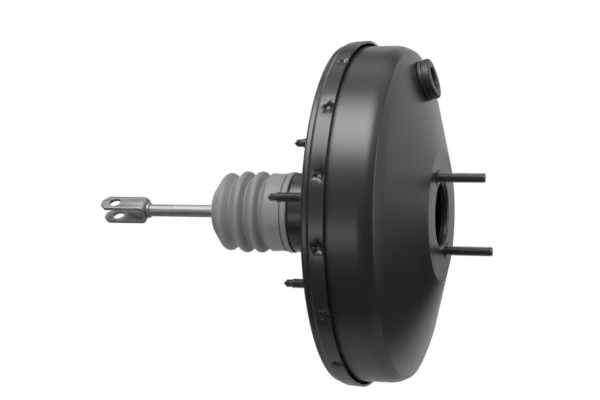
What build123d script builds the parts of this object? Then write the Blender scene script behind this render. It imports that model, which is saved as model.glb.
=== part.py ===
from build123d import *
import math
import os

# Vacuum brake booster with one diaphragm, in the 10 inch size. Lengths are in millimetres.
# The axis runs along X, from the pedal fork at the back to the master cylinder pad in front.
# The origin is the middle of the bulkhead face. +Z is up, with the vacuum port at the top.

# Fits
press_fit = 0.05            # radial gap of a piece that sits tight in another
slide_fit = 0.05            # radial gap of a piece that slides in another
rubber_gap = 0.3            # gap between a rubber piece and what it lies on
rest_gap = 0.3              # gap between moving pieces that stop each other

# Front shell
front_sheet = 1.6
pad_height = 95.0           # from the bulkhead face to the master cylinder pad
pad_radius = 53.0
drum_radius = 135.0
drum_setback = 31.3         # from the pad back to the end of the drum wall
bevel_setback = 24.0        # from the pad back to the bright edge of the bevel
bevel_inset = 4.0           # of that edge, inside the drum's radius
cone_setback = 19.5         # from the pad back to the start of the shallow cone
cone_inset = 14.0           # of the cone's edge, inside the drum's radius
pilot_radius = 25.8         # hole for the master cylinder's spigot
collar_depth = 6.0
flange_bend = 0.8
drum_bend = 4.0
bevel_bend = 2.4
cone_bend = 9.0
pad_bend = 3.0
collar_bend = 2.6

# Rear shell
rear_sheet = 1.8
pan_depth = 17.6            # from the bulkhead face to the rim's shoulder
pan_edge_step = 7.3         # from the rim's root in to the edge of the pan
face_radius = 70.0
neck_length = 26.0
neck_step = 2.6             # step down to the part that the boot sits on
boot_seat_length = 16.0
pan_edge_bend = 6.0
face_bend = 8.0
neck_root_bend = 1.5
neck_bend = 2.0
neck_step_bend = 0.4

# Rim, where the rear shell is rolled over the front shell and staked
rim_gap = 2.7               # between the drum wall and the inside of the rim band
rim_lip = 1.0               # of the band in front of the stakes
rim_flare = 0.7
rim_root_step = 2.5
rim_root_length = 5.0
rim_step_length = 2.0
rim_step_bend = 1.0
rim_corner_bend = 2.4
bead_height = 7.6
stake_count = 16
stake_angle = 7.7
stake_width = 6.4
stake_taper = 40.0
stake_clearance = 0.6       # between a stake's tip and the drum wall

# Studs
stud_radius = 4.0           # M8
knurl_height = 0.4
stud_head_rim = 3.0
stud_head_height = 3.2
stud_end_chamfer = 1.0
front_stud_room = 9.1       # from the edge of the pilot hole out to a stud's middle
front_stud_angle = 120.5
front_stud_reach = 37.6
rear_stud_inset = 11.0      # from the edge of the flat face in to a stud's middle
rear_stud_angle = 165.5
rear_stud_count = 4
rear_stud_reach = 32.9
rear_pilot_step = 0.85      # of the plain pilot, under the thread
rear_pilot_length = 5.4
rear_point_length = 2.6
rear_point_radius = 0.7
star_ring_width = 2.2
star_ring_sheet = 0.8
star_ring_teeth = 8
star_tooth = 1.2

# Plates that the studs are pressed into
front_plate_sheet = 3.0
front_plate_margin = 3.0    # inside the edge of the pad
rear_plate_sheet = 3.0
rear_plate_margin = 2.0     # inside the edge of the flat face
rear_plate_room = 1.0       # between the neck's radius and the hole in the plate

# Vacuum port
port_inset = 14.5           # from the cone's edge in to the port's middle
port_angle = 91.0
port_bore = 9.0
port_wall = 3.4
port_rim = 4.0
port_foot = 3.0
port_groove = 1.0
port_groove_depth = 1.2
port_head = 5.2
port_edge = 1.0
port_back = 3.0
port_barb = 3.0             # of the flange behind the shell, past its hole

# Valve body, the moulded piston
travel = 1.8                # of the plunger in the valve body
tail_radius = 24.5
tail_wall = 4.0
tail_room = 5.5             # between the seat of the rod's spring and the silencer
chamber_step = 1.5
web_setback = 8.1           # from the stop key back to the web
web_seat_inset = 3.5        # from the chamber's wall in to the middle of the seat
web_seat_width = 2.0
web_seat_height = 2.5
chamber_length = 14.0
hub_step = 5.5
hub_lip = 1.5
hub_lip_height = 1.6
hub_flange_step = 6.0
hub_flange_sheet = 4.0
boss_wall = 3.5
rib_count = 6
rib_angle = 30.0
rib_width = 3.0
rib_height = 10.0
vacuum_slot_width = 2.4
vacuum_slot_span = 64.0
key_slot_air = 2.0
air_groove_width = 5.0

# Stop key
key_sheet = 3.0
key_width = 14.0
key_overlap = 2.4           # of the key's tips and the rear plate
key_setback = 2.8           # from the key to the hub's lip

# Plunger and reaction disc
plunger_radius = 9.4
plunger_core = 5.5
plunger_flange_sheet = 3.0
plunger_flange_air = 1.2
plunger_edge = 1.0
air_seat_width = 2.2        # of the plunger's flange that the poppet lies on
disc_setback = 1.0          # from the hub's front to the disc's floor
disc_radius = 13.0
disc_height = 9.0
head_height = 5.0
ball_radius = 6.0
ball_setback = 2.0          # from the poppet's seat to the ball's middle
ball_mouth = 3.5            # from the ball's middle back to the plunger's end
ball_wall = 2.4

# Output rod
output_rod_radius = 6.5
output_rod_setback = 10.0   # from the pad back to the rod's tip
output_tip_radius = 4.5
output_tip_length = 7.0
output_tip_edge = 2.0
output_head_cone = 1.5
output_head_length = 3.0
cap_sheet = 0.8
cap_hold = 3.0              # of the cap over the rod's head

# Diaphragm and its plate
plate_sheet = 1.2
plate_seat_margin = 3.0     # of the flat seat outside the spring
plate_step_width = 7.0
plate_dish_depth = 6.8
plate_dish_width = 19.0
plate_edge_rise = 9.0
plate_flange = 13.0
plate_flare = 1.0
plate_step_bend = 2.0
plate_edge_bend = 4.0
rubber_sheet = 2.0
inner_bead_height = 5.8
inner_bead_wall = 4.0
lobe_room = 16.4            # between the plate and the front shell, for the rolling lobe
lobe_reach = 12.0
lobe_bend = 4.0

# Return spring
spring_wire = 2.0           # radius of the wire
spring_hub_air = 3.0        # between the rear coil and the hub's flange
spring_rim_air = 2.0        # between the front coil and the plate's edge
spring_turns = 4.5

# Poppet valve and the springs round the rod
poppet_bore_air = 1.4       # between the plunger's end and the poppet
poppet_air = 1.4            # between the poppet and the chamber's wall
poppet_face = 3.0
poppet_gap = 0.8            # of the open vacuum valve at rest
poppet_wall = 1.2
poppet_bead = 2.6
poppet_bead_depth = 3.0
poppet_fold_depth = 2.2
poppet_fold_bend = 1.5
poppet_cup_length = 8.0
poppet_cup_sheet = 1.0
poppet_cup_bore = 11.0
poppet_spring_air = 1.0
poppet_spring_wire = 0.6
poppet_spring_turns = 3.0
rod_spring_radius = 13.6
rod_spring_wire = 0.9
rod_spring_turns = 4.0
rod_spring_length = 17.0
rod_seat_margin = 1.5
rod_seat_sheet = 1.6

# Rings in the tail
filter_length = 16.0
rod_room = 3.85             # round the rod, for its tilt
silencer_length = 8.0
tail_cap_sheet = 1.7
tail_cap_step = 1.0
tail_cap_lip = 4.0
tail_cap_proud = 1.2
cap_slot_count = 6
cap_slot_width = 7.0
cap_slot_height = 5.0

# Seal and bush in the neck
bush_wall = 3.6
bush_length = 15.0
bush_edge = 0.8
seal_length = 12.0
seal_lip = 1.6
retainer_sheet = 1.2
retainer_air = 1.0

# Dust boot
boot_wall = 1.9
boot_lip_length = 4.7
boot_lip_height = 1.1
boot_groove = 1.0
boot_groove_width = 1.2
boot_sleeve_tail = 4.0      # past the end of the neck
boot_valley_depth = 4.7     # of a valley's corner, inside the sleeve
boot_crest_height = 3.7     # of a crest's corner, outside the sleeve
boot_pitch = 13.0           # about, so that whole folds fill the length
boot_rise = 4.6             # from a valley back to its crest
boot_last_rise = 7.4
boot_last_height = 2.2
boot_cone = 10.8
boot_end_step = 12.8        # of the cone's small end, inside the sleeve
boot_tail_air = 16.8        # between the tail and the end of the boot
boot_sleeve_bend = 2.5
boot_valley_bend = 1.0
boot_crest_bend = 3.2
boot_last_bend = 4.0
boot_end_bend = 3.0
boot_nose_wall = 2.6
boot_nose_length = 7.0

# Input rod and fork
input_rod_radius = 5.15
input_neck_radius = 3.6
input_neck_length = 8.0
input_neck_cone = 3.0
fork_web = 159.0            # from the bulkhead face back to the fork
fork_length = 41.0
fork_gap = 11.0
fork_strap = 2.6
fork_width = 16.0
fork_bend = 5.0
fork_chamfer = 5.0
fork_pin_radius = 5.0
fork_pin_setback = 12.0     # from the tips forward to the pin
fork_angle = 125.0
rod_collar_radius = 6.5
rod_collar_length = 1.8
tenon_radius = 4.0
tenon_proud = 1.2           # of the web, where the rod's end is peened


# Places along X, worked out from the sizes above
rim_rear = pan_depth
bead_rear = rim_rear + rear_sheet
flange_rear = bead_rear + bead_height
flange_front = flange_rear + front_sheet
stake_place = flange_front + stake_width / 2
rim_front = flange_front + stake_width + rim_lip
neck_end = -neck_length - boot_seat_length

rim_edge_radius = drum_radius + rim_gap + rear_sheet
rim_wall_radius = rim_edge_radius - rim_flare
rim_root_radius = rim_wall_radius - rim_root_step
pan_edge_radius = rim_root_radius - pan_edge_step
bevel_radius = drum_radius - bevel_inset
cone_radius = drum_radius - cone_inset
neck_end_radius = tail_radius + slide_fit + bush_wall + press_fit + rear_sheet
neck_radius = neck_end_radius + neck_step
rear_plate_hole = neck_radius + rear_plate_room
front_plate_radius = pad_radius - front_plate_margin
rear_plate_radius = face_radius - rear_plate_margin

knurl_radius = stud_radius + knurl_height
stud_head_radius = stud_radius + stud_head_rim
front_stud_circle = pilot_radius + front_stud_room
rear_stud_circle = face_radius - rear_stud_inset
rear_pilot_radius = stud_radius - rear_pilot_step
star_ring_radius = stud_radius + star_ring_width
star_pocket_radius = star_ring_radius + press_fit
port_circle = cone_radius - port_inset
port_neck = port_bore + port_wall
port_flange = port_neck + port_rim

tail_bore = tail_radius - tail_wall
chamber_radius = tail_bore - chamber_step
web_seat_radius = chamber_radius - web_seat_inset
hub_radius = tail_radius + hub_step
hub_flange_radius = hub_radius + hub_flange_step
boss_radius = disc_radius + boss_wall
poppet_bore = ball_radius + ball_wall + poppet_bore_air
poppet_radius = chamber_radius - poppet_air
poppet_spring_radius = poppet_cup_bore + poppet_spring_wire + poppet_spring_air
plunger_flange_radius = poppet_bore + air_seat_width
flange_pocket_radius = plunger_flange_radius + plunger_flange_air
rod_seat_radius = rod_spring_radius + rod_spring_wire + rod_seat_margin
filter_bore = input_rod_radius + rod_room
tail_cap_bore = filter_bore + tail_cap_step

spring_rear_radius = hub_flange_radius + spring_hub_air + spring_wire
spring_front_radius = front_plate_radius - spring_rim_air - spring_wire
plate_seat_radius = spring_rear_radius + spring_wire + plate_seat_margin
plate_dish_inner = plate_seat_radius + plate_step_width
plate_dish_outer = plate_dish_inner + plate_dish_width
plate_radius = drum_radius - front_sheet - lobe_room

front_plate_back = pad_height - front_sheet - front_plate_sheet
star_rear = pad_height - star_ring_sheet
rear_plate_front = rear_sheet + rear_plate_sheet

key_rear = rear_plate_front + rest_gap
key_front = key_rear + key_sheet
hub_lip_rear = key_front + key_setback
hub_groove = hub_lip_rear + hub_lip
plate_hub = hub_groove + rubber_gap + inner_bead_height + rubber_gap
plate_front = plate_hub + plate_sheet
hub_front = plate_front + hub_flange_sheet
web_rear = key_rear - web_setback
seat_rear = web_rear - web_seat_height
chamber_rear = web_rear - chamber_length

disc_rear = hub_front + disc_setback
head_rear = disc_rear + disc_height
boss_front = head_rear + head_height + rest_gap
nose_front = disc_rear - travel - rest_gap

poppet_front = seat_rear - poppet_gap
plunger_seat = poppet_front + rubber_gap
ball_x = plunger_seat + ball_setback
plunger_end = ball_x - ball_mouth
bead_front = chamber_rear
bead_back = bead_front - poppet_bead
cup_back = bead_back - poppet_cup_length
rod_seat_front = cup_back - rod_spring_length - 2 * rubber_gap
silencer_front = rod_seat_front - rod_seat_sheet - tail_room
filter_front = silencer_front - silencer_length
filter_rear = filter_front - filter_length
tail_end = filter_rear - tail_cap_sheet

boot_front = -neck_length - rubber_gap
boot_inner = neck_end_radius + rubber_gap
boot_outer = boot_inner + boot_wall
boot_valley_radius = boot_outer - boot_valley_depth
boot_crest_radius = boot_outer + boot_crest_height
boot_last_radius = boot_outer + boot_last_height
boot_end_radius = boot_outer - boot_end_step
boot_end = tail_end - boot_tail_air
first_valley = neck_end - boot_sleeve_tail - boot_rise
last_valley = boot_end + boot_cone + boot_last_rise
boot_folds = max(1, round((first_valley - last_valley) / boot_pitch))
boot_step = (first_valley - last_valley) / boot_folds


def turned(*outline):
    # a solid of revolution about the X axis, from (x, radius) points
    return revolve(make_face(Polyline(*outline, close=True)), Axis.X)


def ring(rear, front, inner, outer):
    return turned((rear, inner), (front, inner), (front, outer), (rear, outer))


def pressed(outline, bends, sheet, side):
    # sheet of an even thickness, revolved, with its bent line on one skin
    line = FilletPolyline(*outline, radius=bends)
    return revolve(make_face(offset(line, amount=sheet, side=side)), Axis.X)


def spot(circle, angle):
    # Y and Z of a point on a circle round the axis
    turn = math.radians(angle)
    return circle * math.cos(turn), circle * math.sin(turn)


def bar(rear, front, radius, circle=0.0, angle=0.0):
    y, z = spot(circle, angle)
    return Pos(rear, y, z) * Rot(0, 90, 0) * extrude(Circle(radius), front - rear)


def front_stud_angles():
    return [front_stud_angle, front_stud_angle + 180]


def rear_stud_angles():
    return [rear_stud_angle + i * 360 / rear_stud_count for i in range(rear_stud_count)]


def stud_hole(place, sheet, circle, angle):
    # through a sheet that has one face at a place along X
    return bar(place - 2 * sheet, place + 2 * sheet, knurl_radius + press_fit, circle, angle)


def port_plane():
    # on the front shell's cone, square to its skin, with Z pointing out of the port
    rise = cone_setback / (cone_radius - pad_radius)
    x = pad_height - (port_circle - pad_radius) * rise
    tilt = math.atan(rise)
    out_y, out_z = spot(math.sin(tilt), port_angle)
    y, z = spot(port_circle, port_angle)
    return Plane(origin=(x, y, z), z_dir=(math.cos(tilt), out_y, out_z))


def front_shell():
    outline = [
        (flange_front, rim_wall_radius - rear_sheet - rubber_gap),
        (flange_front, drum_radius),
        (pad_height - drum_setback, drum_radius),
        (pad_height - bevel_setback, bevel_radius),
        (pad_height - cone_setback, cone_radius),
        (pad_height, pad_radius),
        (pad_height, pilot_radius),
        (pad_height - collar_depth, pilot_radius),
    ]
    bends = [flange_bend, drum_bend, bevel_bend, cone_bend, pad_bend, collar_bend]
    shell = pressed(outline, bends, front_sheet, Side.RIGHT)
    for angle in front_stud_angles():
        shell -= stud_hole(pad_height, front_sheet, front_stud_circle, angle)
        shell -= bar(star_rear, pad_height + 1, star_pocket_radius, front_stud_circle, angle)
    return shell - port_plane() * extrude(Circle(port_neck + press_fit), 5 * front_sheet, both=True)


def stake(angle, top, bottom, width):
    # a blunt four-sided dent that points at the axis, between two radii
    y, z = spot(top, angle)
    plane = Plane(origin=(stake_place, y, z), x_dir=(1, 0, 0), z_dir=(0, -y, -z))
    return plane * extrude(Rectangle(width, width), top - bottom, taper=stake_taper)


def rear_shell():
    outline = [
        (rim_front, rim_edge_radius),
        (rim_rear + rim_root_length + rim_step_length, rim_wall_radius),
        (rim_rear + rim_root_length, rim_root_radius),
        (rim_rear, rim_root_radius),
        (rim_rear, pan_edge_radius),
        (0, face_radius),
        (0, neck_radius),
        (-neck_length, neck_radius),
        (-neck_length, neck_end_radius),
        (neck_end, neck_end_radius),
    ]
    bends = [rim_step_bend, rim_step_bend, rim_corner_bend, pan_edge_bend]
    bends += [face_bend, neck_root_bend, neck_bend, neck_step_bend]
    shell = pressed(outline, bends, rear_sheet, Side.LEFT)
    tip = drum_radius + stake_clearance
    for i in range(stake_count):
        angle = stake_angle + i * 360 / stake_count
        shell += stake(angle, rim_wall_radius - rear_sheet / 2, tip, stake_width + rim_lip / 2)
        shell -= stake(angle, rim_edge_radius + rear_sheet / 3, tip + rear_sheet, stake_width)
    for angle in rear_stud_angles():
        shell -= stud_hole(0, rear_sheet, rear_stud_circle, angle)
    return shell


def front_reinforcement_plate():
    hole = pilot_radius + collar_bend + press_fit
    plate = ring(front_plate_back, pad_height - front_sheet, hole, front_plate_radius)
    for angle in front_stud_angles():
        plate -= stud_hole(front_plate_back, front_plate_sheet, front_stud_circle, angle)
    return plate


def rear_reinforcement_plate():
    plate = ring(rear_sheet, rear_plate_front, rear_plate_hole, rear_plate_radius)
    for angle in rear_stud_angles():
        plate -= stud_hole(rear_sheet, rear_plate_sheet, rear_stud_circle, angle)
    return plate


def front_studs():
    tip = pad_height + front_stud_reach
    profile = [
        (front_plate_back - stud_head_height, 0),
        (front_plate_back - stud_head_height, stud_head_radius),
        (front_plate_back, stud_head_radius),
        (front_plate_back, knurl_radius),
        (pad_height, knurl_radius),
        (pad_height, stud_radius),
        (tip - stud_end_chamfer, stud_radius),
        (tip, stud_radius - stud_end_chamfer),
        (tip, 0),
    ]
    stud = turned(*profile)
    return [Pos(0, *spot(front_stud_circle, angle)) * stud for angle in front_stud_angles()]


def rear_studs():
    tip = -rear_stud_reach
    pilot_rear = tip + rear_point_length
    pilot_front = pilot_rear + rear_pilot_length
    profile = [
        (rear_plate_front + stud_head_height, 0),
        (rear_plate_front + stud_head_height, stud_head_radius),
        (rear_plate_front, stud_head_radius),
        (rear_plate_front, knurl_radius),
        (0, knurl_radius),
        (0, stud_radius),
        (pilot_front + rear_pilot_step, stud_radius),
        (pilot_front, rear_pilot_radius),
        (pilot_rear, rear_pilot_radius),
        (tip, rear_point_radius),
        (tip, 0),
    ]
    stud = turned(*profile)
    return [Pos(0, *spot(rear_stud_circle, angle)) * stud for angle in rear_stud_angles()]


def stud_star_rings():
    # toothed rings round the front studs, level with the pad's face
    corners = []
    for i in range(2 * star_ring_teeth):
        radius = star_ring_radius if i % 2 == 0 else star_ring_radius - star_tooth
        corners.append(spot(radius, i * 180 / star_ring_teeth))
    face = make_face(Polyline(*corners, close=True)) - Circle(knurl_radius + press_fit)
    star = Rot(0, 90, 0) * extrude(face, star_ring_sheet)
    return [Pos(star_rear, *spot(front_stud_circle, angle)) * star for angle in front_stud_angles()]


def vacuum_port_grommet():
    # rubber ring in the shell: flange inside, foot and head outside with a groove between them
    back = -front_sheet - rubber_gap
    foot = rubber_gap + port_foot
    head = foot + port_groove + port_head
    profile = [
        (port_bore, back - port_back),
        (port_neck + port_barb / 2, back - port_back),
        (port_neck + port_barb, back),
        (port_neck, back),
        (port_neck, rubber_gap),
        (port_flange, rubber_gap),
        (port_flange, foot),
        (port_flange - port_groove_depth, foot),
        (port_flange - port_groove_depth, foot + port_groove),
        (port_flange, foot + port_groove),
        (port_flange, head - port_edge),
        (port_flange - port_edge, head),
        (port_bore + port_edge, head),
        (port_bore, head - port_edge),
    ]
    outline = make_face(Polyline(*[(r, 0, z) for r, z in profile], close=True))
    return port_plane() * revolve(outline, Axis.Z)


def valve_body():
    body = turned(
        (tail_end, 0),
        (tail_end, tail_radius),
        (hub_lip_rear, tail_radius),
        (hub_lip_rear, hub_radius + hub_lip_height),
        (hub_groove, hub_radius + hub_lip_height),
        (hub_groove, hub_radius),
        (plate_front, hub_radius),
        (plate_front, hub_flange_radius),
        (hub_front, hub_flange_radius),
        (hub_front, boss_radius),
        (boss_front, boss_radius),
        (boss_front, 0),
    )
    body += hub_ribs()
    body -= bar(tail_end, chamber_rear, tail_bore)
    body -= bar(chamber_rear, web_rear, chamber_radius)
    seat_inner = web_seat_radius - web_seat_width / 2
    body += ring(seat_rear, web_rear, seat_inner, seat_inner + web_seat_width)
    flange_floor = plunger_seat + plunger_flange_sheet + travel + rest_gap
    body -= bar(seat_rear, flange_floor, flange_pocket_radius)
    body -= bar(web_rear, disc_rear, plunger_radius + slide_fit)
    body -= bar(disc_rear, boss_front + 1, disc_radius)
    body -= key_slot()
    body -= vacuum_slots()
    body -= air_grooves()
    return body


def hub_ribs():
    # webs between the front flange and the boss
    side = make_face(
        Polyline(
            (hub_front, boss_radius - boss_wall / 2),
            (hub_front, hub_flange_radius - rib_width),
            (hub_front + rib_height / 3, hub_flange_radius - rib_width),
            (hub_front + rib_height, boss_radius + rib_width / 2),
            (hub_front + rib_height, boss_radius - boss_wall / 2),
            close=True,
        )
    )
    web = extrude(side, rib_width / 2, both=True)
    return [Rot(X=rib_angle + i * 360 / rib_count) * web for i in range(rib_count)]


def key_slot():
    # radial window right through the body, for the stop key and the air
    long = key_front + key_slot_air - key_rear
    window = Box(long, 2 * hub_flange_radius, key_width + 2 * press_fit)
    return Pos(key_rear + long / 2, 0, 0) * window


def vacuum_slots():
    # two curved ports from the poppet chamber to the front chamber
    outer = chamber_radius
    band = Circle(outer) - Circle(outer - vacuum_slot_width)
    reach = 2 * outer
    half = math.radians(vacuum_slot_span / 2)
    corner = (reach * math.sin(half), reach * math.cos(half))
    wedge = make_face(Polyline((0, 0), corner, (-corner[0], corner[1]), close=True))
    sector = band & wedge
    port = extrude(sector, hub_front + 1 - web_rear)
    upright = Plane(origin=(web_rear, 0, 0), x_dir=(0, 1, 0), z_dir=(1, 0, 0))
    return [upright * port, Rot(X=180) * (upright * port)]


def air_grooves():
    # channels along the plunger's bore, from the air seat to the key window
    groove = Box(key_front - web_rear, 2 * flange_pocket_radius, air_groove_width)
    place = Pos((key_front + web_rear) / 2, 0, 0) * groove
    return [place, Rot(X=90) * place]


def stop_key():
    # flat key with a slot that straddles the plunger's neck
    length = 2 * (rear_plate_hole + key_overlap)
    blade = Box(key_sheet, length, key_width, align=(Align.MIN, Align.CENTER, Align.CENTER))
    blade = Pos(key_rear, 0, 0) * blade
    throat = 2 * (plunger_core + rest_gap)
    open_end = Box(3 * key_sheet, length, throat, align=(Align.CENTER, Align.MIN, Align.CENTER))
    blade -= Pos(key_rear, 0, 0) * open_end
    blade -= bar(key_rear - 1, key_front + 1, plunger_core + rest_gap)
    return blade


def valve_plunger():
    groove_rear = key_rear - travel - rest_gap
    groove_front = key_front + rest_gap
    flange_front_face = plunger_seat + plunger_flange_sheet
    body = turned(
        (plunger_end, 0),
        (plunger_end, ball_radius + ball_wall),
        (plunger_seat, ball_radius + ball_wall),
        (plunger_seat, plunger_flange_radius),
        (flange_front_face, plunger_flange_radius),
        (flange_front_face, plunger_radius),
        (groove_rear, plunger_radius),
        (groove_rear, plunger_core),
        (groove_front, plunger_core),
        (groove_front, plunger_radius),
        (nose_front - plunger_edge, plunger_radius),
        (nose_front, plunger_radius - plunger_edge),
        (nose_front, 0),
    )
    return body - Pos(ball_x, 0, 0) * Sphere(ball_radius + slide_fit)


def poppet_valve():
    # rubber face, a folded wall and a bead that the cup holds
    face = ring(poppet_front - poppet_face, poppet_front, poppet_bore, poppet_radius)
    bead = ring(bead_back, bead_front, tail_bore - poppet_bead_depth, tail_bore - press_fit)
    back = poppet_front - poppet_face
    fold = (back + bead_front) / 2
    wall = [
        (back + poppet_face / 3, poppet_radius - poppet_wall),
        (fold, poppet_radius - poppet_fold_depth),
        (bead_front - poppet_bead / 3, tail_bore - poppet_bead_depth + poppet_wall / 2),
    ]
    return face + pressed(wall, [poppet_fold_bend], poppet_wall, Side.LEFT) + bead


def poppet_cup():
    # pressed cup that holds the poppet's bead and carries both small springs
    outer = tail_bore - press_fit
    sleeve = ring(cup_back, bead_back, outer - poppet_cup_sheet, outer)
    return sleeve + ring(cup_back, cup_back + poppet_cup_sheet, poppet_cup_bore, outer)


def coil(rear, front, rear_radius, front_radius, wire, turns):
    # an open coil of round wire between two seats
    start = rear + wire + rubber_gap
    height = front - wire - rubber_gap - start
    lean = math.degrees(math.atan2(front_radius - rear_radius, height))
    middle = (start, 0, 0)
    helix = Helix(height / turns, height, rear_radius, center=middle, direction=(1, 0, 0), cone_angle=lean)
    return sweep(Plane(origin=helix @ 0, z_dir=helix % 0) * Circle(wire), path=helix, is_frenet=True)


def return_spring():
    radii = (spring_rear_radius, spring_front_radius)
    return coil(plate_front, front_plate_back, *radii, spring_wire, spring_turns)


def poppet_spring():
    front = poppet_front - poppet_face
    rear = cup_back + poppet_cup_sheet
    radius = poppet_spring_radius
    return coil(rear, front, radius, radius, poppet_spring_wire, poppet_spring_turns)


def rod_return_spring():
    radius = rod_spring_radius
    return coil(rod_seat_front, cup_back, radius, radius, rod_spring_wire, rod_spring_turns)


def rod_spring_seat():
    hole = input_rod_radius + press_fit
    return ring(rod_seat_front - rod_seat_sheet, rod_seat_front, hole, rod_seat_radius)


def reaction_disc():
    return ring(disc_rear, head_rear, 0, disc_radius - press_fit)


def output_rod():
    tip = pad_height - output_rod_setback
    front = head_rear + head_height
    shoulder = output_rod_radius - output_tip_radius
    return turned(
        (head_rear, 0),
        (head_rear, disc_radius - press_fit),
        (front, disc_radius - press_fit),
        (front, output_rod_radius + output_head_cone),
        (front + output_head_length, output_rod_radius),
        (tip - output_tip_length - shoulder, output_rod_radius),
        (tip - output_tip_length, output_tip_radius),
        (tip - output_tip_edge, output_tip_radius),
        (tip, output_tip_radius - output_tip_edge),
        (tip, 0),
    )


def output_rod_cap():
    # pressed cap on the boss that keeps the rod's head in
    hole = disc_radius - cap_hold
    inner = boss_radius + press_fit
    sleeve = ring(hub_front + rib_height + rest_gap, boss_front, inner, inner + cap_sheet)
    return sleeve + ring(boss_front, boss_front + cap_sheet, hole, inner + cap_sheet)


def diaphragm_plate():
    bends = [plate_step_bend, plate_step_bend, plate_edge_bend, plate_edge_bend]
    return pressed(plate_line(0, plate_flange), bends, plate_sheet, Side.RIGHT)


def plate_line(back, flange):
    # skin of the plate on the side of the diaphragm, or a line at a distance behind it
    step = math.atan2(plate_dish_depth, plate_dish_inner - plate_seat_radius)
    rise = math.atan2(plate_edge_rise, plate_radius - plate_dish_outer)
    inward = back * math.tan(step / 2)
    outward = back * math.tan(rise / 2)
    dish = plate_hub - plate_dish_depth
    return [
        (plate_hub - back, hub_radius + press_fit),
        (plate_hub - back, plate_seat_radius - inward),
        (dish - back, plate_dish_inner - inward),
        (dish - back, plate_dish_outer + outward),
        (dish + plate_edge_rise - back, plate_radius + back),
        (dish + plate_edge_rise + flange, plate_radius + plate_flare + back),
    ]


def diaphragm():
    middle = rubber_gap + rubber_sheet / 2
    line = plate_line(middle, lobe_reach / 2)
    line[0] = (line[0][0], hub_radius + inner_bead_wall - rubber_sheet / 2)
    x = line[-1][0]
    outside = drum_radius - front_sheet - rubber_gap - rubber_sheet / 2
    line.append((x + lobe_reach / 2, (line[-1][1] + outside) / 2))
    line.append((x, outside))
    line.append((bead_rear + rubber_sheet, outside))
    bends = [plate_step_bend, plate_step_bend, plate_edge_bend, plate_edge_bend - middle]
    path = FilletPolyline(*line, radius=bends + [lobe_bend] * 3)
    skin = offset(path, amount=rubber_sheet / 2, side=Side.BOTH)
    membrane = revolve(make_face(skin), Axis.X)
    hub = hub_radius + press_fit
    inner = ring(hub_groove + rubber_gap, plate_hub - rubber_gap, hub, hub + inner_bead_wall)
    return membrane + inner + rim_bead()


def rim_bead():
    # fills the corner between the rim's root, the band and the front shell's flange
    root = rim_root_radius - rear_sheet - press_fit
    wall = rim_wall_radius - rear_sheet - rubber_gap
    lean = rear_sheet * math.tan(math.atan2(rim_root_step, rim_step_length) / 2) + rubber_gap
    inside = drum_radius - front_sheet
    return turned(
        (bead_rear + rubber_sheet / 2, inside - 2 * rubber_sheet),
        (bead_rear, inside - 1.5 * rubber_sheet),
        (bead_rear, root - rubber_sheet / 2),
        (bead_rear + rubber_sheet / 2, root),
        (rim_rear + rim_root_length + lean, root),
        (rim_rear + rim_root_length + rim_step_length + lean, wall),
        (flange_rear, wall),
        (flange_rear, inside - rubber_sheet),
        (flange_rear - rubber_sheet, inside - 2 * rubber_sheet),
    )


def neck_seal():
    # lip seal that the tail slides in
    rear = -neck_length + rear_sheet + rubber_gap
    front = rear + seal_length
    inner = tail_radius + slide_fit
    outer = neck_radius - rear_sheet - press_fit
    return turned(
        (rear, inner),
        (front, inner),
        (front, inner + seal_lip),
        (rear + seal_length / 3, inner + seal_lip),
        (rear + seal_length / 3, outer - seal_lip),
        (front, outer - seal_lip),
        (front, outer),
        (rear, outer),
    )


def seal_retainer():
    front = -neck_length + rear_sheet + rubber_gap + seal_length
    outer = neck_radius - rear_sheet - press_fit
    skirt = ring(front, front + 3 * retainer_sheet, outer - retainer_sheet, outer)
    return skirt + ring(front, front + retainer_sheet, tail_radius + retainer_air, outer)


def guide_bush():
    rear = neck_end
    front = rear + bush_length
    inner = tail_radius + slide_fit
    outer = inner + bush_wall
    return turned(
        (rear, inner + bush_edge),
        (rear + bush_edge, inner),
        (front - bush_edge, inner),
        (front, inner + bush_edge),
        (front, outer),
        (rear, outer),
    )


def air_filter():
    return ring(filter_rear, filter_front, filter_bore, tail_bore - rubber_gap)


def silencer_ring():
    return ring(filter_front, silencer_front, filter_bore, tail_bore - rubber_gap)


def tail_cap():
    # moulded ring that clips in the tail and holds the filter
    disc = ring(tail_end, filter_rear, tail_cap_bore, tail_bore - press_fit)
    collar = ring(tail_end - tail_cap_proud, tail_end, tail_bore - tail_cap_lip, tail_radius)
    slot_radius = (tail_cap_bore + tail_bore - tail_cap_lip) / 2
    slot = Pos(tail_end, 0, slot_radius) * Box(4 * tail_cap_sheet, cap_slot_width, cap_slot_height)
    for i in range(cap_slot_count):
        disc -= Rot(X=i * 360 / cap_slot_count) * slot
    return disc + collar


def dust_boot():
    outline = [(boot_front, boot_outer), (neck_end - boot_sleeve_tail, boot_outer)]
    bends = [boot_sleeve_bend]
    for i in range(boot_folds):
        valley = first_valley - i * boot_step
        outline.append((valley, boot_valley_radius))
        outline.append((valley - boot_rise, boot_crest_radius))
        bends += [boot_valley_bend, boot_crest_bend]
    outline.append((last_valley, boot_valley_radius))
    outline.append((last_valley - boot_last_rise, boot_last_radius))
    outline.append((boot_end, boot_end_radius))
    outline.append((boot_end, input_rod_radius + rubber_gap))
    bends += [boot_valley_bend, boot_last_bend, boot_end_bend]
    boot = pressed(outline, bends, boot_wall, Side.LEFT)
    lip_rear = boot_front - boot_lip_length
    lip_outer = boot_outer + boot_lip_height
    boot += ring(lip_rear, boot_front, boot_inner + boot_wall / 3, lip_outer)
    boot -= ring(lip_rear - boot_groove_width, lip_rear, boot_outer - boot_groove, lip_outer)
    nose_inner = input_rod_radius + rubber_gap
    return boot + ring(boot_end, boot_end + boot_nose_length, nose_inner, nose_inner + boot_nose_wall)


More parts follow.
